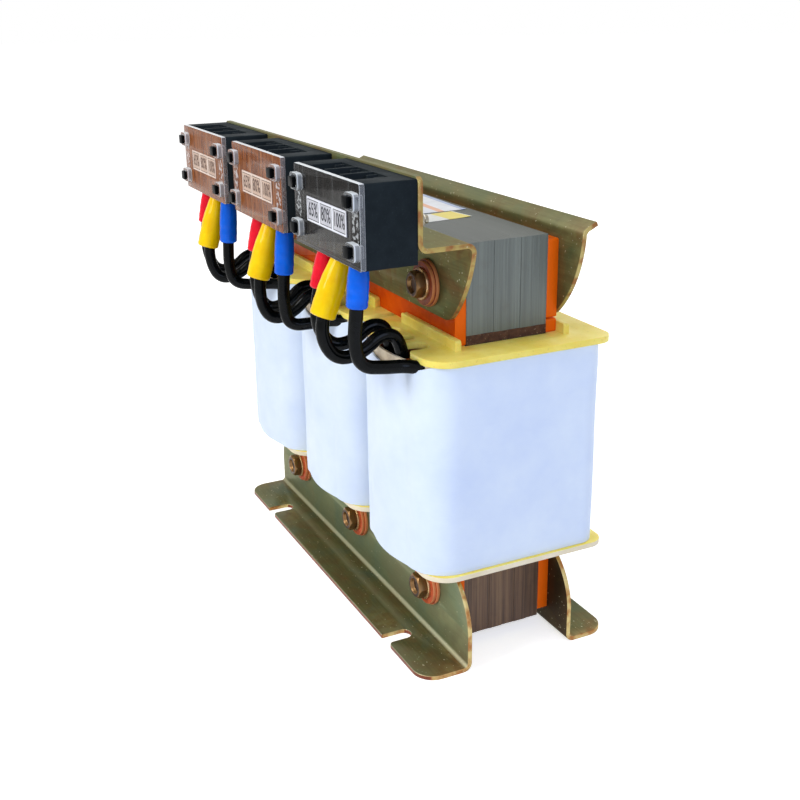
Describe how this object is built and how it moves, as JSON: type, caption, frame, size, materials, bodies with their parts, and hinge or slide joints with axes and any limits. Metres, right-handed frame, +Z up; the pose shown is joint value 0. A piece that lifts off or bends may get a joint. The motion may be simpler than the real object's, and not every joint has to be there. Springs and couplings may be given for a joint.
{
  "type": "three-phase starting reactor",
  "caption": "Iron-core three-phase starting reactor: coils on bobbins, folded clamps and slotted feet, lead-out terminal blocks with clear covers.",
  "frame": {"origin": "point on the floor plane under the middle of the core", "axes": "+X along the row of coils, -Y towards the terminal blocks, +Z up"},
  "size_m": [0.2832, 0.1575, 0.2699],
  "materials": {
    "core_varnished": "brown varnish over strips",
    "core_bare": "bare strip edges",
    "gap_board": "dark fibre board",
    "zinc_sheet": "yellow passivated zinc",
    "orange_strip": "satin orange laminate",
    "zinc_fastener": "yellow passivated zinc",
    "insulating_fibre": "brown fibre",
    "bobbin_plastic": "pale yellow moulding",
    "winding_copper": "enamelled wire",
    "cream_paper": "insulating paper",
    "white_wrap": "white insulating wrap",
    "block_black": "moulded black",
    "clear_cover": "clear",
    "brass_bar": "plain",
    "plated_screw": "bright zinc",
    "marking_paper": "blank",
    "tinned_lug": "tinned copper",
    "boot_red": "soft vinyl",
    "boot_yellow": "soft vinyl",
    "boot_blue": "soft vinyl",
    "lead_sleeve": "black sleeve"
  },
  "bodies": {
    "root": {"block_body_1": "block_black", "block_body_2": "block_black", "block_body_3": "block_black", "block_cover_1": "clear_cover", "block_cover_2": "clear_cover", "block_cover_3": "clear_cover", "block_nuts": "plated_screw", "block_screws": "plated_screw", "bobbin_1": "bobbin_plastic", "bobbin_2": "bobbin_plastic", "bobbin_3": "bobbin_plastic", "boots_blue": "boot_blue", "boots_red": "boot_red", "boots_yellow": "boot_yellow", "clamp_bolts": "zinc_fastener", "clamp_nuts": "zinc_fastener", "contact_bars": "brass_bar", "cover_catches": "block_black", "e_core": "core_varnished", "flat_washers": "zinc_fastener", "front_clamp": "zinc_sheet", "front_foot": "zinc_sheet", "front_strip": "orange_strip", "gap_boards": "gap_board", "insulating_sleeves": "insulating_fibre", "insulating_washers": "insulating_fibre", "lead_blue_1": "lead_sleeve", "lead_blue_2": "lead_sleeve", "lead_blue_3": "lead_sleeve", "lead_red_1": "lead_sleeve", "lead_red_2": "lead_sleeve", "lead_red_3": "lead_sleeve", "lead_yellow_1": "lead_sleeve", "lead_yellow_2": "lead_sleeve", "lead_yellow_3": "lead_sleeve", "lower_strips": "orange_strip", "marking_strips": "marking_paper", "outer_wrap_1": "white_wrap", "outer_wrap_2": "white_wrap", "outer_wrap_3": "white_wrap", "paper_1": "cream_paper", "paper_2": "cream_paper", "paper_3": "cream_paper", "rear_clamp": "zinc_sheet", "rear_foot": "zinc_sheet", "rear_packer": "orange_strip", "rear_strip": "orange_strip", "ring_lugs": "tinned_lug", "spring_washers": "zinc_fastener", "terminal_screws": "plated_screw", "upper_yoke": "core_bare", "winding_1": "winding_copper", "winding_2": "winding_copper", "winding_3": "winding_copper"}
  },
  "joints": []
}
